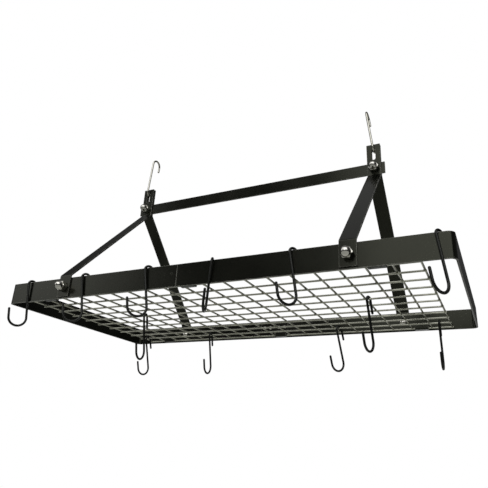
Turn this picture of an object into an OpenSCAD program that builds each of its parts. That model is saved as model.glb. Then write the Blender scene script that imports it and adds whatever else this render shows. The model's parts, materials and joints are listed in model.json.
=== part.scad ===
// Hanging pot rack. A flat-bar frame in two halves carries a welded wire grid, and four bent
// straps hang it from two ceiling hooks. Twelve pot hooks hang on the front bar and on the grid.
// Millimetres: +X to the right, +Y to the back, +Z up. The origin is midway between the two
// places where the ceiling hooks hang. Heights are given above the underside of the frame.

/* [Frame] */
// Length of the frame, outside
frame_l = 940; // [880:10:1040]
// Width of the frame, outside
frame_w = 480; // [440:10:540]
// Height of the flat bar
bar_h = 44.5; // [42:0.5:52]
// Thickness of the flat bar
bar_t = 3.2; // [2.6:0.2:4]
// Outer radius of the frame's corners
corner_r = 12; // [6:1:20]
// How far left of the middle the two halves meet
seam_shift = 24; // [18:1:32]
// Width of the seam between the halves
seam_gap = 0.4; // [0.2:0.1:1]

/* [Joiners] */
// Length of the plate behind each seam
joiner_l = 76; // [70:1:90]
// Lower edge of the plate
joiner_low = 14; // [13:0.5:17]
// Bare bar above the plate
joiner_inset = 4.5; // [2:0.5:7]
// How far left of the middle each joiner's wire hook lies
joiner_hook_shift = 2; // [0:0.5:3]
// Diameter of the joiner screws
screw_d = 5; // [4:0.5:6]
// Head diameter of the joiner screws
screw_head_d = 9.5; // [8:0.5:11]
// Head height of the joiner screws
screw_head_h = 3; // [2:0.2:4]
// Seam to the nearer screws
screw_first = 12; // [9:0.5:15]
// Nearer to farther screws
screw_pitch = 16; // [12:0.5:17]
// Metal left over the blind holes of the screws
screw_skin = 0.6; // [0.4:0.1:1]

/* [Grid] */
// Diameter of the grid's wire
grid_d = 3.6; // [3:0.2:4.4]
// Number of long wires
long_n = 11; // [9:2:13]
// Number of cross wires
cross_n = 20; // [18:2:22]
// Inside of the side bars to the middle of the outer long wires
side_gap = 7.8; // [7:0.2:9]
// Inside of the end bars to the middle of the outer cross wires
end_gap = 50.8; // [42:1:60]
// Wire ends past the outer crossings
wire_over = 1.5; // [0.5:0.5:3]

/* [Grid clips] */
// Width of the clips
clip_w = 30; // [22:1:34]
// Thickness of the clips and the joiners
clip_t = 2; // [1.6:0.1:2.6]
// Inner radius of the bends in the clips
clip_bend_r = 1; // [0.5:0.1:1.5]
// Height of a clip's leg, on the bar
clip_leg = 11; // [8:0.5:11.5]
// Height of a clip's lip
clip_lip = 13; // [10:0.5:14]
// Room between the wire and the lip
lip_room = 2.2; // [0.5:0.1:3]

/* [Hanger straps] */
// Distance between the two hangers
hanger_spacing = 614; // [524:10:684]
// Width of the straps
strap_w = 30; // [26:1:36]
// Thickness of the straps
strap_t = 3.2; // [2.6:0.2:4]
// Lower end of the strap's foot
strap_low = 2.8; // [0:0.2:6]
// Straight foot above the bar
strap_over = 2.8; // [1:0.2:8]
// Height from the lower bend to the upper bend
strap_rise = 249.7; // [180:0.1:320]
// Inner radius of the lower bend
foot_bend_r = 3; // [2:0.5:6]
// Inner radius of the upper bend
top_bend_r = 5; // [2:0.5:10]
// Radius of the corners at the strap's ends
strap_end_r = 1; // [1:0.5:6]
// Straight top of the strap
tab_h = 76; // [70:1:100]
// Upper bend to the middle of the top bolt
top_bolt_up = 15.6; // [14:0.2:20]
// Width of the slot for the ceiling hook
slot_w = 8.5; // [7.5:0.1:10]
// Length of that slot
slot_l = 26.5; // [20:0.5:28]
// Metal above that slot
slot_band = 12.5; // [8:0.5:16]

/* [Crossbar] */
// Height of the crossbar
crossbar_h = 28; // [24:1:30]
// Thickness of the crossbar
crossbar_t = 3.2; // [2.6:0.2:4]
// Crossbar past the middle of each hanger
crossbar_over = 23; // [18:1:40]

/* [Fasteners] */
// Diameter of the carriage bolts
bolt_d = 8; // [6:0.5:9]
// Head diameter of the carriage bolts
bolt_head_d = 18; // [14:0.5:20]
// Head height of the carriage bolts
bolt_head_h = 4.4; // [3:0.2:5]
// Room around a bolt in its hole
bolt_room = 0.4; // [0.2:0.1:0.6]
// Room around a thread in its nut or tapped hole
thread_room = 0.1; // [0.05:0.05:0.2]
// Diameter of the washers
washer_d = 18; // [16:0.5:26]
// Thickness of the washers
washer_t = 1.6; // [1:0.1:2.4]
// Width of the acorn nuts, flat to flat
nut_af = 19; // [17:0.5:20]
// Height of the nut's hexagon
nut_hex_h = 10; // [7:0.5:11]
// Whole height of the nut
nut_h = 22; // [20:0.5:25]
// Diameter of the nut's dome
nut_dome_d = 18; // [15:0.5:18.5]
// Bolt inside the nut
nut_depth = 12; // [9:0.5:15]

/* [Ceiling hooks] */
// Diameter of the chromed wire
ceiling_d = 4.8; // [4:0.2:5.4]
// Between the middles of the two bends
ceiling_span = 82; // [50:1:120]
// Radius of the lower bend, to the middle of the wire
ceiling_low_r = 11; // [10:0.5:14]
// Radius of the upper bend, to the middle of the wire
ceiling_top_r = 14; // [11.5:0.5:24]
// Straight end after the lower bend
ceiling_low_leg = 12; // [6:1:20]
// Straight end after the upper bend
ceiling_top_leg = 12; // [4:1:30]
// Lean of both hooks towards the middle
ceiling_lean = 6.5; // [0:0.5:8]

/* [Pot hooks] */
// Diameter of the pot hooks' wire
pot_d = 4.8; // [4:0.2:5.4]
// Radius of the arch, to the middle of the wire
arch_r = 7.5; // [7:0.25:9]
// Radius of the bowl, to the middle of the wire
bowl_r = 18.2; // [12:0.2:24]
// Straight shank between the arch and the bowl
shank_l = 76.5; // [60:0.1:100]
// Straight short leg inside the bar
short_leg = 24.8; // [16:0.2:25.4]
// Straight tip after the bowl
tip_rise = 18; // [6:1:30]
// Room between a hook and what it hangs on
seat_room = 0.3; // [0.2:0.05:0.5]

/* [Places of the pot hooks on the front bar] */
// First hook, right of where the left corner ends
hook_1_right = 48.7; // [40:0.1:60]
// Second hook, right of the left hanger's middle
hook_2_right = 53.3; // [50:0.1:60]
// Third hook, left of the seams
hook_3_left = 67.7; // [64:0.1:76]
// Fourth hook, right of the seams
hook_4_right = 75.3; // [70:0.1:84]
// Fifth hook, left of the right hanger's middle
hook_5_left = 95.6; // [84:0.1:100]
// Sixth hook, left of where the right corner begins
hook_6_left = 10.3; // [10:0.1:30]

/* [Hidden] */
$fn = 64;

BLACK = [0.09, 0.09, 0.095];
CHROME = [0.82, 0.83, 0.85];
STEEL = [0.66, 0.67, 0.69];

LEFT = -1;
RIGHT = 1;
FRONT = -1;
BACK = 1;
past = 1; // how far a cutting shape runs past the face that it cuts
bend_steps = 10; // flats round each bend of a strap

// Frame and seam
inner_l = frame_l - 2 * bar_t;
inner_w = frame_w - 2 * bar_t;
seam_x = -seam_shift;

// Grid
long_y = inner_w / 2 - side_gap;
cross_x = inner_l / 2 - end_gap;
long_pitch = 2 * long_y / (long_n - 1);
cross_pitch = 2 * cross_x / (cross_n - 1);
long_z = clip_t + grid_d / 2;
weld_gap = 0.05;
cross_z = long_z + grid_d + weld_gap;

// Clips: each end clip lies midway between the second and third cross wires from the end
clip_x = cross_x - 1.5 * cross_pitch;
clip_depth = side_gap + grid_d / 2 + lip_room + clip_t;

// Hangers
hanger_x = hanger_spacing / 2;
tab_out = crossbar_t / 2 + strap_t;
foot_bend = [frame_w / 2 - foot_bend_r, bar_h + strap_over];
top_bend = [tab_out + top_bend_r, foot_bend.y + strap_rise];
bend_run = top_bend.x - foot_bend.x;
bend_sum = foot_bend_r + top_bend_r + strap_t;
strap_angle = asin(bend_sum / norm([bend_run, strap_rise])) - atan2(bend_run, strap_rise);
tab_top = top_bend.y + tab_h;
top_bolt_z = top_bend.y + top_bolt_up;
foot_bolt_z = (strap_low + bar_h) / 2;

// Ceiling hooks. The lower bend carries the round upper ends of the slots. slot_hang gives how far
// over the middle of the bend a slot's end must be, to stay clear at one place across the slot.
ceiling_near = ceiling_d / 2 + seat_room;
bend_drop = sqrt((ceiling_low_r - ceiling_near) ^ 2 - tab_out ^ 2);
function beside(across) = across * cos(ceiling_lean) - bend_drop * sin(ceiling_lean);
function slot_hang(across) =
    let (reach = ceiling_low_r - sqrt(ceiling_near ^ 2 - beside(across) ^ 2))
    (across * sin(ceiling_lean) - sqrt(reach ^ 2 - tab_out ^ 2)) / cos(ceiling_lean)
    + slot_w / 2 - sqrt(slot_w ^ 2 / 4 - across ^ 2);
swing_z = tab_top - slot_band - max([for (n = [-20 : 20])
    let (across = n * ceiling_near / 20)
    if (abs(beside(across)) < ceiling_near) slot_hang(across)]);
ceiling_shift = ceiling_top_r - ceiling_low_r;
ceiling_shank = sqrt(ceiling_span ^ 2 - ceiling_shift ^ 2);
ceiling_seat = ceiling_span + ceiling_top_r - ceiling_d / 2;
under_z = -swing_z - ceiling_seat * cos(ceiling_lean);

// Pot hooks on the front bar: [place along the bar, way the tip points]
bar_hooks = [
    [-frame_l / 2 + corner_r + hook_1_right, 244.5],
    [-hanger_x + hook_2_right, 224.5],
    [seam_x - hook_3_left, 229],
    [seam_x + hook_4_right, 293],
    [hanger_x - hook_5_left, 235],
    [frame_l / 2 - corner_r - hook_6_left, 239]];
// Pot hooks on the grid: [place in cross pitches, place in long pitches, way the tip points]
front_wire = -1;
back_wire = (long_n - 3) / 2;
end_cell = cross_n / 2 - 1;
grid_hooks = [
    [-5.37, front_wire, 279],
    [-end_cell, back_wire, 258],
    [-4.29, back_wire, 273],
    [3.8, back_wire, 238.5],
    [6.68, front_wire, 256],
    [end_cell, back_wire, 271]];

// Lean of a pot hook that hangs free: its middle of mass comes under its seat
arch_l = PI * arch_r;
bowl_l = PI * bowl_r;
hook_l = arch_l + short_leg + shank_l + bowl_l + tip_rise;
mass_out = (shank_l * arch_r - short_leg * arch_r + bowl_l * (arch_r + bowl_r)
    + tip_rise * (arch_r + 2 * bowl_r)) / hook_l;
mass_down = (short_leg ^ 2 / 2 + shank_l ^ 2 / 2 + bowl_l * (shank_l + 2 * bowl_r / PI)
    + tip_rise * (shank_l - tip_rise / 2) - arch_l * 2 * arch_r / PI) / hook_l;
free_lean = atan(mass_out / (arch_r - pot_d / 2 + mass_down));

// Seat of a pot hook on the bar. Its shank leans on the bar's lower edge and its arch on the
// upper edges; turn is how far it is turned from square to the bar. A turned hook also leans
// along the bar, until its middle of mass comes under its seat.
near = pot_d / 2 + seat_room;
lean_share = 0.6; // share of the slack in the arch that the lean takes up
square_way = 270; // way the tip of a hook points that stands square to the bar
function bar_lean(turn) = atan(lean_share * (2 * arch_r - (bar_t + 2 * near) / cos(turn)) / bar_h);
function side_lean(turn) = atan(sin(turn) * tan(free_lean - bar_lean(turn)));
function bar_out(turn, rise) =
    let (lean = bar_lean(turn))
    let (side = side_lean(turn))
    let (arch_drop = arch_r * (cos(lean) * sin(turn) * sin(side) + sin(lean) * cos(side)))
    let (fall = cos(lean) * cos(side) - sin(lean) * sin(turn) * sin(side))
    let (reach = arch_r * cos(lean) - (rise + bar_h - arch_drop) / fall * sin(lean))
    near / cos(atan(sin(lean) * cos(turn) / fall)) + bar_t / 2 - cos(turn) * reach;
function bar_rise(turn, tries = 5) =
    let (out = bar_out(turn, tries == 0 ? near - arch_r : bar_rise(turn, tries - 1)))
    let (side = side_lean(turn))
    max([for (a = [0 : 2 : 180]) for (edge = [-bar_t / 2, bar_t / 2])
        let (off = out + arch_r * cos(a) * cos(turn) - edge)
        if (abs(off) < near)
            sqrt(near ^ 2 - off ^ 2) - arch_r * (sin(a) * cos(side) - cos(a) * sin(turn) * sin(side))]);

// ---- Shapes that several pieces use ----

function arc_points(centre, radius, from, to) =
    [for (n = [0 : bend_steps])
        let (a = from + (to - from) * n / bend_steps)
        centre + radius * [cos(a), sin(a)]];

// Everything below is drawn above the underside of the frame and lowered into place
module in_place() {
    translate([0, 0, under_z])
        children();
}

// Draws a flat section, given as [depth, height], along X
module along_x(width) {
    rotate([90, 0, 90])
        linear_extrude(width, center = true)
            children();
}

// Turns what is drawn towards the back into what faces the given side
module to_side(side) {
    mirror([0, side == FRONT ? 1 : 0, 0])
        children();
}

// Turns +Z so that it points out of the given side
module outward(side) {
    rotate([-90 * side, 0, 0])
        children();
}

// Part of a flat ring, for a bend in sheet
module ring_part(inner_r, thickness, from, to) {
    outer_r = inner_r + thickness;
    corner = 2 * outer_r;
    intersection() {
        difference() {
            circle(r = outer_r);
            circle(r = inner_r);
        }
        polygon([[0, 0], corner * [cos(from), sin(from)], corner * [cos(to), sin(to)]]);
    }
}

// Bend in round wire, in the XZ plane, from +X towards +Z
module wire_bend(radius, wire_d, from, to) {
    rotate([90, 0, 0])
        rotate([0, 0, from])
            rotate_extrude(angle = to - from)
                translate([radius, 0])
                    circle(d = wire_d);
}

// Straight round wire along Z, with a round end where it stops
module wire_up(x, low, high, wire_d) {
    translate([x, 0, low])
        cylinder(h = high - low, d = wire_d);
}

module wire_tip(x, z, wire_d) {
    translate([x, 0, z])
        sphere(d = wire_d);
}

// Low dome that stands on z = 0
module dome_cap(diameter, height) {
    radius = (diameter ^ 2 / 4 + height ^ 2) / (2 * height);
    intersection() {
        translate([0, 0, height - radius])
            sphere(r = radius);
        cylinder(h = height, d = diameter);
    }
}

// ---- Frame ----

module rounded_rect(length, width, radius) {
    square([length - 2 * radius, width], center = true);
    square([length, width - 2 * radius], center = true);
    for (x = [-1, 1], y = [-1, 1])
        translate([x * (length / 2 - radius), y * (width / 2 - radius)])
            circle(r = radius);
}

module at_foot_bolts() {
    for (x = [LEFT, RIGHT], side = [FRONT, BACK])
        translate([x * hanger_x, side * frame_w / 2, foot_bolt_z])
            outward(side)
                children();
}

module at_top_bolts() {
    for (x = [LEFT, RIGHT])
        translate([x * hanger_x, -tab_out, top_bolt_z])
            outward(FRONT)
                children();
}

// Each joiner screw, with z = 0 on the inner face of the bar
module at_screws(side) {
    for (x = [LEFT, RIGHT], n = [0, 1])
        translate([seam_x + x * (screw_first + n * screw_pitch), side * inner_w / 2, joiner_mid_z()])
            outward(side)
                children();
}

function joiner_mid_z() = (joiner_low + bar_h - joiner_inset) / 2;

module square_hole(depth) {
    width = bolt_d + 2 * bolt_room;
    translate([-width / 2, -width / 2, 0])
        cube([width, width, depth]);
}

// One half of the frame: the ring of flat bar, cut at the seams
module frame_half(hand) {
    keep_l = frame_l;
    color(BLACK)
        in_place()
            difference() {
                linear_extrude(bar_h)
                    difference() {
                        rounded_rect(frame_l, frame_w, corner_r);
                        rounded_rect(inner_l, inner_w, corner_r - bar_t);
                    }
                translate([seam_x + (hand == LEFT ? -seam_gap / 2 : seam_gap / 2 - keep_l),
                        -frame_w, -past])
                    cube([keep_l, 2 * frame_w, bar_h + 2 * past]);
                at_foot_bolts()
                    translate([0, 0, -bar_t - past])
                        square_hole(bar_t + 2 * past);
                for (side = [FRONT, BACK])
                    at_screws(side)
                        translate([0, 0, -past])
                            cylinder(h = bar_t - screw_skin + past, d = screw_d + 2 * thread_room);
            }
}

module frame_left() {
    frame_half(LEFT);
}

module frame_right() {
    frame_half(RIGHT);
}

// ---- Clips and joiners ----

// J-shaped section: a leg on the bar, a ledge under the outer wire and a lip past it
module hook_section(leg) {
    outer_r = clip_bend_r + clip_t;
    translate([0, outer_r])
        square([clip_t, leg - outer_r]);
    translate([outer_r, outer_r])
        ring_part(clip_bend_r, clip_t, 180, 270);
    translate([outer_r, 0])
        square([clip_depth - 2 * outer_r, clip_t]);
    translate([clip_depth - outer_r, outer_r])
        ring_part(clip_bend_r, clip_t, 270, 360);
    translate([clip_depth - clip_t, outer_r])
        square([clip_t, clip_lip - outer_r]);
}

// The section's depth runs inwards from the inner face of the bar
module wire_hook(side, x, leg) {
    translate([x, 0, 0])
        to_side(side)
            translate([0, inner_w / 2, 0])
                mirror([0, 1, 0])
                    along_x(clip_w)
                        hook_section(leg);
}

module clip(side, hand) {
    color(BLACK)
        in_place()
            wire_hook(side, hand * clip_x, clip_leg);
}

module clip_front_left() {
    clip(FRONT, LEFT);
}

module clip_front_right() {
    clip(FRONT, RIGHT);
}

module clip_back_left() {
    clip(BACK, LEFT);
}

module clip_back_right() {
    clip(BACK, RIGHT);
}

// Plate that bridges the seam, with a wire hook bent from its lower edge
module joiner(side) {
    plate_h = bar_h - joiner_inset - joiner_low;
    color(BLACK)
        in_place()
            difference() {
                union() {
                    wire_hook(side, -joiner_hook_shift, joiner_low);
                    to_side(side)
                        translate([seam_x - joiner_l / 2, inner_w / 2 - clip_t, joiner_low])
                            cube([joiner_l, clip_t, plate_h]);
                }
                at_screws(side)
                    translate([0, 0, -clip_t - past])
                        cylinder(h = clip_t + 2 * past, d = screw_d + 2 * bolt_room);
            }
}

module joiner_front() {
    joiner(FRONT);
}

module joiner_back() {
    joiner(BACK);
}

// Round-headed screws, driven outwards through the joiners into the bar
module joiner_screws() {
    screw_l = clip_t + bar_t - screw_skin - thread_room;
    color(CHROME)
        in_place()
            for (side = [FRONT, BACK])
                at_screws(side)
                    translate([0, 0, -clip_t]) {
                        mirror([0, 0, 1])
                            dome_cap(screw_head_d, screw_head_h);
                        cylinder(h = screw_l, d = screw_d);
                    }
}

// ---- Grid ----

module grid_long_wires() {
    half = cross_x + grid_d / 2 + wire_over;
    color(STEEL)
        in_place()
            for (n = [0 : long_n - 1])
                translate([-half, n * long_pitch - long_y, long_z])
                    rotate([0, 90, 0])
                        cylinder(h = 2 * half, d = grid_d);
}

module grid_cross_wires() {
    half = long_y + grid_d / 2 + wire_over;
    color(STEEL)
        in_place()
            for (n = [0 : cross_n - 1])
                translate([n * cross_pitch - cross_x, half, cross_z])
                    rotate([90, 0, 0])
                        cylinder(h = 2 * half, d = grid_d);
}

// ---- Hangers ----

// Side view of a strap: foot, lower bend, slope, upper bend and straight top
module strap_section() {
    foot = frame_w / 2;
    polygon(concat(
        [[foot, strap_low], [foot + strap_t, strap_low]],
        arc_points(foot_bend, foot_bend_r + strap_t, 0, strap_angle),
        arc_points(top_bend, top_bend_r, 180 + strap_angle, 180),
        [[tab_out, tab_top], [tab_out - strap_t, tab_top]],
        arc_points(top_bend, top_bend_r + strap_t, 180, 180 + strap_angle),
        arc_points(foot_bend, foot_bend_r, strap_angle, 0)));
}

// Front view of a strap, with round corners at both ends
module strap_outline() {
    height = tab_top - strap_low;
    translate([0, strap_low + height / 2])
        rounded_rect(strap_w, height, strap_end_r);
}

module slot_outline() {
    height = slot_l - slot_w;
    translate([-slot_w / 2, 0])
        square([slot_w, height]);
    for (y = [0, height])
        translate([0, y])
            circle(d = slot_w);
}

// Cuts through the straps and the crossbar, drawn along Y
module through_y(reach) {
    rotate([90, 0, 0])
        linear_extrude(2 * reach, center = true)
            children();
}

module strap(side, hand) {
    bolt_hole_d = bolt_d + 2 * bolt_room;
    color(BLACK)
        in_place()
            translate([hand * hanger_x, 0, 0])
                difference() {
                    intersection() {
                        to_side(side)
                            along_x(strap_w)
                                strap_section();
                        through_y(frame_w)
                            strap_outline();
                    }
                    translate([0, 0, tab_top - slot_band - slot_l])
                        through_y(tab_out + past)
                            translate([0, slot_w / 2])
                                slot_outline();
                    translate([0, side * frame_w / 2, foot_bolt_z])
                        through_y(strap_t + past)
                            circle(d = bolt_hole_d);
                    translate([0, 0, top_bolt_z])
                        through_y(tab_out + past)
                            if (side == FRONT)
                                circle(d = bolt_hole_d);
                            else
                                square(bolt_hole_d, center = true);
                }
}

module strap_front_left() {
    strap(FRONT, LEFT);
}

module strap_front_right() {
    strap(FRONT, RIGHT);
}

module strap_back_left() {
    strap(BACK, LEFT);
}

module strap_back_right() {
    strap(BACK, RIGHT);
}

// Flat bar between the straight tops of the straps
module crossbar() {
    half = hanger_x + crossbar_over;
    color(BLACK)
        in_place()
            difference() {
                translate([-half, -crossbar_t / 2, top_bolt_z - crossbar_h / 2])
                    cube([2 * half, crossbar_t, crossbar_h]);
                for (hand = [LEFT, RIGHT])
                    translate([hand * hanger_x, 0, top_bolt_z])
                        through_y(tab_out)
                            circle(d = bolt_d + 2 * bolt_room);
            }
}

// ---- Bolts, washers and acorn nuts ----

// Carriage bolt whose head lies under z = 0, with a square neck in the first sheet
module carriage_bolt(neck, grip) {
    mirror([0, 0, 1])
        dome_cap(bolt_head_d, bolt_head_h);
    translate([-bolt_d / 2, -bolt_d / 2, 0])
        cube([bolt_d, bolt_d, neck]);
    cylinder(h = grip + washer_t + nut_depth, d = bolt_d);
}

module washer() {
    difference() {
        cylinder(h = washer_t, d = washer_d);
        translate([0, 0, -past])
            cylinder(h = washer_t + 2 * past, d = bolt_d + 2 * bolt_room);
    }
}

// Hexagon with chamfered corners under a closed dome, and a blind thread
module acorn_nut() {
    corner = nut_af / 2 / cos(30);
    bevel = (corner - nut_af / 2) * tan(30);
    difference() {
        union() {
            intersection() {
                cylinder(h = nut_hex_h, r = corner, $fn = 6);
                rotate_extrude()
                    polygon([[0, 0], [nut_af / 2, 0], [corner, bevel], [corner, nut_hex_h - bevel],
                        [nut_af / 2, nut_hex_h], [0, nut_hex_h]]);
            }
            cylinder(h = nut_h - nut_dome_d / 2, d = nut_dome_d);
            translate([0, 0, nut_h - nut_dome_d / 2])
                sphere(d = nut_dome_d);
        }
        translate([0, 0, -past])
            cylinder(h = nut_depth + 2 * past, d = bolt_d + 2 * thread_room);
    }
}

module foot_bolts() {
    color(CHROME)
        in_place()
            at_foot_bolts()
                translate([0, 0, -bar_t])
                    carriage_bolt(bar_t, bar_t + strap_t);
}

module foot_washers() {
    color(CHROME)
        in_place()
            at_foot_bolts()
                translate([0, 0, strap_t])
                    washer();
}

module foot_nuts() {
    color(CHROME)
        in_place()
            at_foot_bolts()
                translate([0, 0, strap_t + washer_t])
                    acorn_nut();
}

module top_bolts() {
    grip = 2 * tab_out;
    color(CHROME)
        in_place()
            at_top_bolts()
                translate([0, 0, -grip])
                    carriage_bolt(strap_t, grip);
}

module top_washers() {
    color(CHROME)
        in_place()
            at_top_bolts()
                washer();
}

module top_nuts() {
    color(CHROME)
        in_place()
            at_top_bolts()
                translate([0, 0, washer_t])
                    acorn_nut();
}

// ---- Ceiling hooks ----

// C-shaped hook of round wire, drawn in the XZ plane about the middle of its lower bend
module ceiling_wire() {
    top_x = ceiling_shift;
    wire_bend(ceiling_low_r, ceiling_d, 180, 360);
    wire_up(-ceiling_low_r, 0, ceiling_shank, ceiling_d);
    wire_up(ceiling_low_r, 0, ceiling_low_leg, ceiling_d);
    wire_tip(ceiling_low_r, ceiling_low_leg, ceiling_d);
    translate([top_x, 0, ceiling_shank])
        wire_bend(ceiling_top_r, ceiling_d, 0, 180);
    wire_up(top_x + ceiling_top_r, ceiling_shank - ceiling_top_leg, ceiling_shank, ceiling_d);
    wire_tip(top_x + ceiling_top_r, ceiling_shank - ceiling_top_leg, ceiling_d);
}

// The upper bend hangs straight over the lower one, and leans towards the middle
module ceiling_hook(hand) {
    tilt = atan2(ceiling_shift, ceiling_shank);
    color(CHROME)
        in_place()
            translate([hand * hanger_x, 0, swing_z])
                rotate([0, -hand * ceiling_lean, 0])
                    rotate([tilt, 0, 0])
                        rotate([0, 0, 90])
                            ceiling_wire();
}

module ceiling_hook_left() {
    ceiling_hook(LEFT);
}

module ceiling_hook_right() {
    ceiling_hook(RIGHT);
}

// ---- Pot hooks ----

// Hook of round wire, drawn in the XZ plane about the middle of its arch, with its tip at +X
module pot_wire() {
    bowl_x = arch_r + bowl_r;
    tip_x = arch_r + 2 * bowl_r;
    wire_bend(arch_r, pot_d, 0, 180);
    wire_up(-arch_r, -short_leg, 0, pot_d);
    wire_tip(-arch_r, -short_leg, pot_d);
    wire_up(arch_r, -shank_l, 0, pot_d);
    translate([bowl_x, 0, -shank_l])
        wire_bend(bowl_r, pot_d, 180, 360);
    wire_up(tip_x, -shank_l, tip_rise - shank_l, pot_d);
    wire_tip(tip_x, tip_rise - shank_l, pot_d);
}

module pot_hook(place, way, lean, side = 0) {
    color(BLACK)
        in_place()
            translate(place)
                rotate([0, side, 0])
                    rotate([0, lean, way])
                        pot_wire();
}

// Hook over the front bar, with its shank outside
module bar_hook(place) {
    turn = place[1] - square_way;
    mid_y = -frame_w / 2 + bar_t / 2;
    rise = bar_rise(turn);
    centre = [place[0], mid_y - bar_out(turn, rise), bar_h + rise];
    pot_hook(centre, place[1], bar_lean(turn), side_lean(turn));
}

// Hook over one of the long wires
module grid_hook(place) {
    arch_z = long_z + grid_d / 2 + near - arch_r;
    pot_hook([place[0] * cross_pitch, place[1] * long_pitch, arch_z], place[2], free_lean);
}

// ---- Parts ----

frame_left();
frame_right();
joiner_front();
joiner_back();
joiner_screws();
clip_front_left();
clip_front_right();
clip_back_left();
clip_back_right();
grid_long_wires();
grid_cross_wires();
strap_front_left();
strap_front_right();
strap_back_left();
strap_back_right();
crossbar();
foot_bolts();
foot_washers();
foot_nuts();
top_bolts();
top_washers();
top_nuts();
ceiling_hook_left();
ceiling_hook_right();
bar_hook(bar_hooks[0]);  // pot_hook_01
bar_hook(bar_hooks[1]);  // pot_hook_02
bar_hook(bar_hooks[2]);  // pot_hook_03
bar_hook(bar_hooks[3]);  // pot_hook_04
bar_hook(bar_hooks[4]);  // pot_hook_05
bar_hook(bar_hooks[5]);  // pot_hook_06
grid_hook(grid_hooks[0]);  // pot_hook_07
grid_hook(grid_hooks[1]);  // pot_hook_08
grid_hook(grid_hooks[2]);  // pot_hook_09
grid_hook(grid_hooks[3]);  // pot_hook_10
grid_hook(grid_hooks[4]);  // pot_hook_11
grid_hook(grid_hooks[5]);  // pot_hook_12
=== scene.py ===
"""Looks of a hanging pot rack: black flat bar, a steel wire grid, chromed ceiling hooks and acorn
nuts, and black wire pot hooks. Metres, +X to the right, +Y to the back, +Z up."""
import json
import math

import bmesh
import bpy
from mathutils import Matrix, Vector

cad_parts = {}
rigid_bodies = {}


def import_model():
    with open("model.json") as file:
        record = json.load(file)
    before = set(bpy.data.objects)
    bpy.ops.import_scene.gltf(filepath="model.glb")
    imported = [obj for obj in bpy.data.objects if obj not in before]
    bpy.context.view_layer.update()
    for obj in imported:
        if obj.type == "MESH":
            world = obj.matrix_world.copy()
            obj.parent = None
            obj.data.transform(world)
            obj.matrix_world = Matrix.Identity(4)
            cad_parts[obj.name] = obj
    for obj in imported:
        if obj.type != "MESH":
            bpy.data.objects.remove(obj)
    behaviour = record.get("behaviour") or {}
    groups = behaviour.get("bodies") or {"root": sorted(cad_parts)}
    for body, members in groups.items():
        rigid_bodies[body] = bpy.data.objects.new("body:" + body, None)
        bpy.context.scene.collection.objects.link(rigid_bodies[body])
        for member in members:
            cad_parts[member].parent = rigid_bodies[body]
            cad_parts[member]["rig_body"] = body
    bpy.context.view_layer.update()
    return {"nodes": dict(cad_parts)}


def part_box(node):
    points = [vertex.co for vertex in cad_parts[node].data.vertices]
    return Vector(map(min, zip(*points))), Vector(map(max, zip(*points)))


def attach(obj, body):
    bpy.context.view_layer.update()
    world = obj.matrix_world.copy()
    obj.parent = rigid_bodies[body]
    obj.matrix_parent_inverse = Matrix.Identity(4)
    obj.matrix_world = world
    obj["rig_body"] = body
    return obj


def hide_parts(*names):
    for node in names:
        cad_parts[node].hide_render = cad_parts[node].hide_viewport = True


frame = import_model()
nodes = frame["nodes"]

# ---- Pieces of the pack, and the sizes that the looks are worked out from ----

MM = 0.001
RACK_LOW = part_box("frame_left")[0].z  # underside of the frame
FLAT_BAR_PIECES = (
    "frame_left", "frame_right", "strap_front_left", "strap_front_right", "strap_back_left",
    "strap_back_right", "crossbar", "joiner_front", "joiner_back", "clip_front_left",
    "clip_front_right", "clip_back_left", "clip_back_right")
FASTENERS = ("foot_bolts", "foot_washers", "foot_nuts", "top_bolts", "top_washers", "top_nuts",
             "joiner_screws")
CEILING_HOOKS = ("ceiling_hook_left", "ceiling_hook_right")
GRID_WIRES = ("grid_long_wires", "grid_cross_wires")
POT_HOOKS = tuple(f"pot_hook_{number:02d}" for number in range(1, 13))


def add_object(name, data):
    """A new object in the scene."""
    thing = bpy.data.objects.new(name, data)
    bpy.context.scene.collection.objects.link(thing)
    return thing


# ---- Camera ----

PHOTO_SIZE = 488  # pixels, square
FOCAL_PIXELS = 514.35
SENSOR = 36.0  # millimetres
CAMERA_PLACE = Vector((0.5129, -1.0088, RACK_LOW - 0.2765))
CAMERA_AZIMUTH = math.radians(-27.298)
CAMERA_ELEVATION = math.radians(21.694)
CAMERA_ROLL = math.radians(3.066)
CAMERA_REACH = (0.01, 50)  # nearest and farthest that it sees


def add_camera():
    """Stands low in front of the right-hand end and looks up at the rack."""
    forward = Vector((math.sin(CAMERA_AZIMUTH) * math.cos(CAMERA_ELEVATION),
                      math.cos(CAMERA_AZIMUTH) * math.cos(CAMERA_ELEVATION),
                      math.sin(CAMERA_ELEVATION)))
    level = forward.cross(Vector((0, 0, 1))).normalized()
    upright = level.cross(forward)
    right = math.cos(CAMERA_ROLL) * level + math.sin(CAMERA_ROLL) * upright
    up = math.cos(CAMERA_ROLL) * upright - math.sin(CAMERA_ROLL) * level
    data = bpy.data.cameras.new("camera")
    data.sensor_width = SENSOR
    data.lens = SENSOR * FOCAL_PIXELS / PHOTO_SIZE
    data.clip_start, data.clip_end = CAMERA_REACH
    camera = add_object("camera", data)
    turn = Matrix((right, up, -forward)).transposed()
    camera.matrix_world = Matrix.Translation(CAMERA_PLACE) @ turn.to_4x4()
    bpy.context.scene.camera = camera


# ---- Node helpers ----

COLOUR = "NodeSocketColor"
NUMBER = "NodeSocketFloat"
WHITE = (1, 1, 1, 1)


def wire_up(tree, pairs):
    """Links sockets, given as (from, to)."""
    for source, target in pairs:
        tree.links.new(source, target)


def feed(tree, socket, value):
    """Sets a socket to a number, or links another socket to it."""
    if isinstance(value, (int, float)):
        socket.default_value = value
    else:
        tree.links.new(value, socket)


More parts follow.
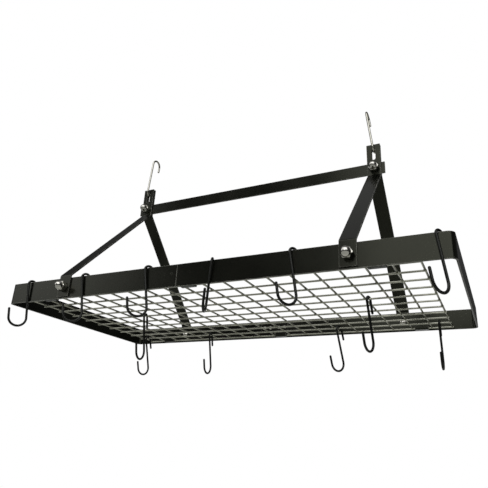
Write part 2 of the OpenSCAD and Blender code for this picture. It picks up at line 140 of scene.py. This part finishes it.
def new_group(name, inputs, outputs):
    """A shader node group with named sockets, given as (name, kind)."""
    group = bpy.data.node_groups.new(name, "ShaderNodeTree")
    for direction, sockets in (("INPUT", inputs), ("OUTPUT", outputs)):
        for label, kind in sockets:
            group.interface.new_socket(name=label, in_out=direction, socket_type=kind)
    return group, group.nodes.new("NodeGroupInput"), group.nodes.new("NodeGroupOutput")


def noise(tree, place, scale, detail, roughness):
    """Noise texture at a place, with a scale that comes from a socket."""
    node = tree.nodes.new("ShaderNodeTexNoise")
    node.inputs["Detail"].default_value = detail
    node.inputs["Roughness"].default_value = roughness
    wire_up(tree, [(place, node.inputs["Vector"]), (scale, node.inputs["Scale"])])
    return node.outputs["Fac"]


def remap(tree, value, span, first, last):
    """Goes from first to last, which are numbers or sockets, while a value crosses a span."""
    node = tree.nodes.new("ShaderNodeMapRange")
    node.inputs["From Min"].default_value, node.inputs["From Max"].default_value = span
    tree.links.new(value, node.inputs["Value"])
    feed(tree, node.inputs["To Min"], first)
    feed(tree, node.inputs["To Max"], last)
    return node.outputs["Result"]


def combine(tree, operation, first, second):
    """Math node of two sockets, or of a socket and a number."""
    node = tree.nodes.new("ShaderNodeMath")
    node.operation = operation
    tree.links.new(first, node.inputs[0])
    feed(tree, node.inputs[1], second)
    return node.outputs[0]


def mix(tree, kind, share, first, second):
    """Mixes two sockets by a share; the kind is RGBA for colours and FLOAT for numbers."""
    node = tree.nodes.new("ShaderNodeMix")
    node.data_type = kind
    wire_up(tree, [(share, node.inputs["Factor"]), (first, node.inputs["A"]),
                   (second, node.inputs["B"])])
    return node.outputs["Result"]


# ---- Effects that several materials share ----

# Edges and bends get a lighter tone: partly wear of the coat, partly a painted highlight.
WEAR_AND_HIGHLIGHT_BEND = (0.992, 0.93)  # cosine of the turn to the rounded edge: the lighter edge tone begins, the lighter edge tone is full
WEAR_AND_HIGHLIGHT_SAMPLES = 6
WEAR_AND_HIGHLIGHT_PATCHES = (0.38, 0.62)  # noise over which an edge goes from least to full wear and painted highlight
LEAST_WEAR_AND_HIGHLIGHT = 0.25


def make_finish(name, first_tone, second_tone, fine_scale, patch_noise, patch_span, fine_noise):
    """Two tones and two levels of sheen in soft patches, over a fine relief.
    The noises are (detail, roughness)."""
    group, given, out = new_group(
        name,
        [(first_tone, COLOUR), (second_tone, COLOUR), ("Smoothest", NUMBER), ("Roughest", NUMBER),
         ("Patch scale", NUMBER), (fine_scale, NUMBER)],
        [("Color", COLOUR), ("Roughness", NUMBER), ("Height", NUMBER)])
    place = group.nodes.new("ShaderNodeTexCoord").outputs["Object"]
    patches = noise(group, place, given.outputs["Patch scale"], *patch_noise)
    relief = noise(group, place, given.outputs[fine_scale], *fine_noise)
    share = remap(group, patches, patch_span, 0.0, 1.0)
    tone = mix(group, "RGBA", share, given.outputs[first_tone], given.outputs[second_tone])
    rough = remap(group, patches, patch_span, given.outputs["Smoothest"],
                  given.outputs["Roughest"])
    wire_up(group, [(tone, out.inputs["Color"]), (rough, out.inputs["Roughness"]),
                    (relief, out.inputs["Height"])])
    return group


def make_edge_wear_and_highlight():
    """A lighter tone along sheared edges and sharp bends, more in some places: partly coat rubbed
    thin, partly a painted highlight.
    """
    group, given, out = new_group(
        "edge_wear_and_highlight",
        [("Color", COLOUR), ("Roughness", NUMBER), ("Worn and highlight tone", COLOUR),
         ("Worn roughness", NUMBER), ("Reach", NUMBER), ("Patch scale", NUMBER)],
        [("Color", COLOUR), ("Roughness", NUMBER)])
    place = group.nodes.new("ShaderNodeTexCoord").outputs["Object"]
    rounded = group.nodes.new("ShaderNodeBevel")
    rounded.samples = WEAR_AND_HIGHLIGHT_SAMPLES
    bend = group.nodes.new("ShaderNodeVectorMath")
    bend.operation = "DOT_PRODUCT"
    wire_up(group, [(given.outputs["Reach"], rounded.inputs["Radius"]),
                    (rounded.outputs["Normal"], bend.inputs[0]),
                    (group.nodes.new("ShaderNodeNewGeometry").outputs["Normal"], bend.inputs[1])])
    edges = remap(group, bend.outputs["Value"], WEAR_AND_HIGHLIGHT_BEND, 0.0, 1.0)
    patches = noise(group, place, given.outputs["Patch scale"], detail=4.0, roughness=0.6)
    worn_and_lit = remap(group, patches, WEAR_AND_HIGHLIGHT_PATCHES, LEAST_WEAR_AND_HIGHLIGHT, 1.0)
    share = combine(group, "MULTIPLY", edges, worn_and_lit)
    # Mixes in the lighter edge tone: partly wear, partly a painted highlight.
    for kind, coat, worn in (("RGBA", "Color", "Worn and highlight tone"),
                             ("FLOAT", "Roughness", "Worn roughness")):
        mixed = mix(group, kind, share, given.outputs[coat], given.outputs[worn])
        group.links.new(mixed, out.inputs[coat])
    return group


# Sprayed powder coat: soft patches of tone and sheen over a fine orange peel.
coat_texture = make_finish("coat_texture", "Dark tone", "Light tone", "Peel scale",
                           patch_noise=(5.0, 0.55), patch_span=(0.3, 0.7), fine_noise=(2.0, 0.5))
# Drawn or polished metal: a little tarnish in patches, and faint hairlines.
drawn_metal = make_finish("drawn_metal", "Clean tone", "Dull tone", "Line scale",
                          patch_noise=(4.0, 0.6), patch_span=(0.35, 0.7), fine_noise=(3.0, 0.6))
edge_wear_and_highlight = make_edge_wear_and_highlight()


# ---- Materials ----

def place_effect(tree, group, values):
    """Puts a shared group in a material, with the material's own values."""
    effect = tree.nodes.new("ShaderNodeGroup")
    effect.node_tree = group
    for label, value in values.items():
        effect.inputs[label].default_value = value
    return effect


def make_material(name, group, values, relief, relief_depth, sockets, wear_and_highlight=None):
    """A Principled material whose colour, roughness and bump come from the shared groups."""
    material = bpy.data.materials.new(name)
    material.use_nodes = True
    tree = material.node_tree
    shader = tree.nodes["Principled BSDF"]
    for label, value in sockets.items():
        shader.inputs[label].default_value = value
    finish = place_effect(tree, group, values)
    bump = tree.nodes.new("ShaderNodeBump")
    bump.inputs["Strength"].default_value = relief
    bump.inputs["Distance"].default_value = relief_depth
    surface = finish
    if wear_and_highlight:
        surface = place_effect(tree, edge_wear_and_highlight, wear_and_highlight)
        wire_up(tree, [(finish.outputs[label], surface.inputs[label])
                       for label in ("Color", "Roughness")])
    wire_up(tree, [(surface.outputs["Color"], shader.inputs["Base Color"]),
                   (surface.outputs["Roughness"], shader.inputs["Roughness"]),
                   (finish.outputs["Height"], bump.inputs["Height"]),
                   (bump.outputs["Normal"], shader.inputs["Normal"])])
    return material


# Its edges and bends take a lighter tone: partly wear, partly a painted highlight.
black_coat = make_material(
    "black_coat", coat_texture,
    {"Dark tone": (0.0014, 0.0015, 0.0012, 1), "Light tone": (0.0028, 0.0029, 0.0023, 1),
     "Smoothest": 0.17, "Roughest": 0.25, "Patch scale": 7.0, "Peel scale": 1100.0},
    relief=0.25, relief_depth=0.08 * MM,
    sockets={"Specular IOR Level": 0.31, "Specular Tint": (0.97, 1.0, 0.79, 1)},
    wear_and_highlight={"Worn and highlight tone": (0.16, 0.16, 0.145, 1), "Worn roughness": 0.3, "Reach": 1.4 * MM,
          "Patch scale": 55.0})
# Its edges take a lighter tone: partly wear, partly a painted highlight.
black_wire = make_material(
    "black_wire", coat_texture,
    {"Dark tone": (0.0014, 0.0014, 0.0012, 1), "Light tone": (0.0028, 0.0028, 0.0025, 1),
     "Smoothest": 0.24, "Roughest": 0.34, "Patch scale": 25.0, "Peel scale": 1500.0},
    relief=0.2, relief_depth=0.05 * MM,
    sockets={"Specular IOR Level": 0.3, "Specular Tint": (0.97, 1.0, 0.95, 1)},
    wear_and_highlight={"Worn and highlight tone": (0.10, 0.10, 0.09, 1), "Worn roughness": 0.3, "Reach": 0.6 * MM,
          "Patch scale": 90.0})
chrome = make_material(
    "chrome", drawn_metal,
    {"Clean tone": (0.66, 0.65, 0.60, 1), "Dull tone": (0.48, 0.47, 0.43, 1),
     "Smoothest": 0.06, "Roughest": 0.14, "Patch scale": 90.0, "Line scale": 2500.0},
    relief=0.05, relief_depth=0.03 * MM, sockets={"Metallic": 1.0})
chrome_wire = make_material(
    "chrome_wire", drawn_metal,
    {"Clean tone": (0.60, 0.59, 0.53, 1), "Dull tone": (0.40, 0.39, 0.34, 1),
     "Smoothest": 0.08, "Roughest": 0.18, "Patch scale": 70.0, "Line scale": 2500.0},
    relief=0.06, relief_depth=0.03 * MM, sockets={"Metallic": 1.0})
grid_steel = make_material(
    "grid_steel", drawn_metal,
    {"Clean tone": (0.46, 0.46, 0.39, 1), "Dull tone": (0.28, 0.28, 0.235, 1),
     "Smoothest": 0.14, "Roughest": 0.24, "Patch scale": 45.0, "Line scale": 1800.0},
    relief=0.12, relief_depth=0.04 * MM, sockets={"Metallic": 1.0})


# ---- Pieces ----

EDGE_WIDTH = 0.7 * MM  # of the flat bar's eased edges
EDGE_STEPS = 3
EDGE_ANGLE = math.radians(30)  # an edge that turns more than this is eased
FLAT_ANGLE = math.radians(0.2)  # faces that turn less than this are one face
MERGE_DISTANCE = 0.001 * MM


def opened(mesh):
    """A mesh in edit form, with its doubled corners merged."""
    work = bmesh.new()
    work.from_mesh(mesh)
    bmesh.ops.remove_doubles(work, verts=work.verts, dist=MERGE_DISTANCE)
    return work


def dress(mesh, material):
    """Gives a mesh its one material."""
    mesh.materials.clear()
    mesh.materials.append(material)


def apply_modifiers(piece):
    """Smooths the faces, keeps the shape that the modifiers give, and drops the modifiers."""
    for face in piece.data.polygons:
        face.use_smooth = True
    graph = bpy.context.evaluated_depsgraph_get()
    shaped = bpy.data.meshes.new_from_object(piece.evaluated_get(graph))
    piece.modifiers.clear()
    old = piece.data
    piece.data = shaped
    bpy.data.meshes.remove(old)


def ease_edges(name, material):
    """Puts a copy with eased edges in the place of a packed flat-bar piece."""
    source = nodes[name]
    mesh = source.data.copy()
    work = opened(mesh)
    bmesh.ops.dissolve_limit(work, angle_limit=FLAT_ANGLE, verts=work.verts, edges=work.edges)
    work.to_mesh(mesh)
    work.free()
    dress(mesh, material)
    piece = add_object(name + "_eased", mesh)
    bevel = piece.modifiers.new("bevel", "BEVEL")
    bevel.width = EDGE_WIDTH
    bevel.segments = EDGE_STEPS
    bevel.limit_method = "ANGLE"
    bevel.angle_limit = EDGE_ANGLE
    bevel.use_clamp_overlap = True
    weigh = piece.modifiers.new("weighted_normal", "WEIGHTED_NORMAL")
    weigh.keep_sharp = True
    apply_modifiers(piece)
    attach(piece, source["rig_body"])
    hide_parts(name)


for name in FLAT_BAR_PIECES:
    ease_edges(name, black_coat)
for names, material in ((FASTENERS, chrome), (CEILING_HOOKS, chrome_wire),
                        (GRID_WIRES, grid_steel), (POT_HOOKS, black_wire)):
    for name in names:
        dress(nodes[name].data, material)


# ---- Spot welds of the grid ----

WELD_SPREAD = 0.62  # mean half width of a weld, as a share of the wire
WELD_DEPTH = 0.36  # half height of a weld, as a share of the wire
WELD_ARMS = 4  # along the two wires, both ways
WELD_ARM_REACH = 0.22  # how much further than the mean an arm reaches
WELD_UNEVEN = 0.12  # how much welds differ in width
WELD_DRIFT = (3.1, 1.7)  # radians of that difference from one long or cross wire to the next
WELD_DETAIL = 3  # subdivisions of the ball that a weld is shaped from


def wire_boxes(name):
    """Lowest and highest corners of each wire in a grid node."""
    work = opened(nodes[name].data)
    boxes, seen = [], set()
    for start in work.verts:
        if start in seen:
            continue
        seen.add(start)
        wire, to_visit = [], [start]
        while to_visit:
            vert = to_visit.pop()
            wire.append(vert.co.copy())
            for edge in vert.link_edges:
                other = edge.other_vert(vert)
                if other not in seen:
                    seen.add(other)
                    to_visit.append(other)
        boxes.append([Vector([pick(co[axis] for co in wire) for axis in range(3)])
                      for pick in (min, max)])
    work.free()
    return boxes


def add_weld(work, centre, wire, width):
    """Adds a four-armed bead to a mesh; the width is 1 for a plain weld."""
    bead = bmesh.ops.create_icosphere(work, subdivisions=WELD_DETAIL, radius=1.0)["verts"]
    for vert in bead:
        arm = 1 + WELD_ARM_REACH * math.cos(WELD_ARMS * math.atan2(vert.co.y, vert.co.x))
        spread = WELD_SPREAD * wire * arm * width
        vert.co = centre + Vector((vert.co.x * spread, vert.co.y * spread,
                                   vert.co.z * WELD_DEPTH * wire))


def add_grid_welds():
    """A bead between the two wires at each crossing."""
    long_wires = wire_boxes("grid_long_wires")
    cross_wires = wire_boxes("grid_cross_wires")
    wire = long_wires[0][1].z - long_wires[0][0].z
    work = bmesh.new()
    for row, (long_low, long_high) in enumerate(long_wires):
        for column, (cross_low, cross_high) in enumerate(cross_wires):
            centre = Vector(((cross_low.x + cross_high.x) / 2, (long_low.y + long_high.y) / 2,
                             (long_high.z + cross_low.z) / 2))
            if not (cross_low.y < centre.y < cross_high.y
                    and long_low.x < centre.x < long_high.x):
                continue
            drift = WELD_DRIFT[0] * row + WELD_DRIFT[1] * column
            add_weld(work, centre, wire, 1 + WELD_UNEVEN * math.sin(drift))
    for face in work.faces:
        face.smooth = True
    mesh = bpy.data.meshes.new("grid_welds")
    work.to_mesh(mesh)
    work.free()
    dress(mesh, grid_steel)
    welds = add_object("grid_welds", mesh)
    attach(welds, nodes["grid_long_wires"]["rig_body"])


add_grid_welds()


# ---- Room and light ----

# What shiny surfaces see, by the parts of a direction: across, depth and height, each -1 to 1.
WALL_DEPTH = (0.72, 0.95)  # over which the white wall at the back comes in
WALL_END = (-0.12, 0.02)  # parts across over which the wall ends on the right
CEILING_HEIGHT = (0.6, 0.85)  # over which the pale ceiling comes in
CEILING_GLOW = 0.22
ROOM_GLOW = 0.05
# Light panels in front: across over depth at both sides, height at foot and top, glow.
PANELS = ((-1.6, 0.25, 0.22, 0.9, 1.95), (0.86, 2.4, 0.2, 0.85, 1.25),
          (0.2, 0.95, 0.62, 0.85, 1.8))
PANEL_FADE = 0.03
SOFT_LIGHT = 0.6
SOFT_COLOUR = (0.98, 1.0, 0.97, 1)

LAMP_SPREAD = math.radians(75)  # keeps the lamps off the floor
LAMP_AIM = Vector((0, 0, RACK_LOW + 0.15))  # over the middle of the frame
# Soft boxes: name, place, width, height, watts, colour.
LAMPS = (("key", (0.7, -2.7, 0.5), 1.3, 0.5, 11, (1.0, 0.99, 0.95)),
         ("fill", (-3.3, -1.9, 0.35), 1.2, 0.5, 6, (1.0, 0.99, 0.94)),
         ("side", (2.3, -1.5, 0.4), 1.0, 0.5, 4, (1.0, 0.95, 0.97)),
         ("top", (-0.6, -1.5, 1.9), 1.0, 0.6, 5, (1.0, 1.0, 0.97)))

FLOOR_LEVEL = RACK_LOW - 2.0
FLOOR_HALF = 8.0
FLOOR_COLOUR = (0.6, 0.6, 0.58, 1)
FLOOR_ROUGHNESS = 0.9


def background(tree, colour, strength):
    """Background shader with a plain colour; the strength may be a number or a socket."""
    node = tree.nodes.new("ShaderNodeBackground")
    node.inputs["Color"].default_value = colour
    feed(tree, node.inputs["Strength"], strength)
    return node.outputs[0]


def choose(tree, share, first, second):
    """Mixes two shaders by a share."""
    node = tree.nodes.new("ShaderNodeMixShader")
    wire_up(tree, [(share, node.inputs["Fac"]), (first, node.inputs[1]),
                   (second, node.inputs[2])])
    return node.outputs[0]


def within(tree, value, low, high, fade):
    """One between two limits and nothing outside them, with soft ends."""
    rises = remap(tree, value, (low - fade, low), 0.0, 1.0)
    falls = remap(tree, value, (high, high + fade), 1.0, 0.0)
    return combine(tree, "MULTIPLY", rises, falls)


def room_light(tree):
    """Glow of the room by direction: a white back wall, a pale ceiling and panels in front."""
    direction = tree.nodes.new("ShaderNodeTexCoord").outputs["Generated"]
    parts = tree.nodes.new("ShaderNodeSeparateXYZ")
    tree.links.new(direction, parts.inputs[0])
    across, depth, height = (parts.outputs[axis] for axis in "XYZ")
    slope = combine(tree, "DIVIDE", across, depth)
    in_front = combine(tree, "LESS_THAN", depth, 0.0)
    wall = combine(tree, "MULTIPLY", remap(tree, depth, WALL_DEPTH, 0.0, 1.0),
                   remap(tree, across, WALL_END, 1.0, 0.0))
    light = combine(tree, "MAXIMUM", wall, ROOM_GLOW)
    ceiling = remap(tree, height, CEILING_HEIGHT, 0.0, CEILING_GLOW)
    light = combine(tree, "MAXIMUM", light, ceiling)
    for left, right, foot, top, glow in PANELS:
        panel = combine(tree, "MULTIPLY", within(tree, slope, left, right, PANEL_FADE),
                        within(tree, height, foot, top, PANEL_FADE))
        panel = combine(tree, "MULTIPLY", combine(tree, "MULTIPLY", panel, in_front), glow)
        light = combine(tree, "MAXIMUM", light, panel)
    return light


def add_world():
    """Plain white to the camera, the room in reflections, and a soft light on the rest."""
    world = bpy.data.worlds.new("studio")
    bpy.context.scene.world = world
    world.use_nodes = True
    tree = world.node_tree
    tree.nodes.clear()
    path = tree.nodes.new("ShaderNodeLightPath")
    seen_plainly = combine(tree, "MAXIMUM", path.outputs["Is Camera Ray"],
                           path.outputs["Is Transmission Ray"])
    soft = background(tree, SOFT_COLOUR, SOFT_LIGHT)
    room = background(tree, WHITE, room_light(tree))
    white = background(tree, WHITE, 1.0)
    lit = choose(tree, path.outputs["Is Glossy Ray"], soft, room)
    out = tree.nodes.new("ShaderNodeOutputWorld")
    tree.links.new(choose(tree, seen_plainly, lit, white), out.inputs["Surface"])


def add_lamp(name, place, width, height, watts, colour):
    """Soft box that faces the rack, and that shiny surfaces don't show."""
    data = bpy.data.lights.new(name, "AREA")
    data.shape = "RECTANGLE"
    data.size = width
    data.size_y = height
    data.energy = watts
    data.color = colour
    data.spread = LAMP_SPREAD
    lamp = add_object(name, data)
    lamp.visible_glossy = False
    lamp.location = place
    lamp.rotation_euler = (LAMP_AIM - Vector(place)).to_track_quat("-Z", "Y").to_euler()


def add_floor():
    """Plain pale floor two metres below the rack."""
    mesh = bpy.data.meshes.new("floor")
    corners = [(x * FLOOR_HALF, y * FLOOR_HALF, FLOOR_LEVEL)
               for x, y in ((-1, -1), (1, -1), (1, 1), (-1, 1))]
    mesh.from_pydata(corners, [], [(0, 1, 2, 3)])
    material = bpy.data.materials.new("floor")
    material.use_nodes = True
    shader = material.node_tree.nodes["Principled BSDF"]
    shader.inputs["Base Color"].default_value = FLOOR_COLOUR
    shader.inputs["Roughness"].default_value = FLOOR_ROUGHNESS
    dress(mesh, material)
    floor = add_object("floor", mesh)


add_camera()
add_world()
add_floor()
for lamp in LAMPS:
    add_lamp(*lamp)
bpy.context.scene.view_settings.view_transform = "Standard"
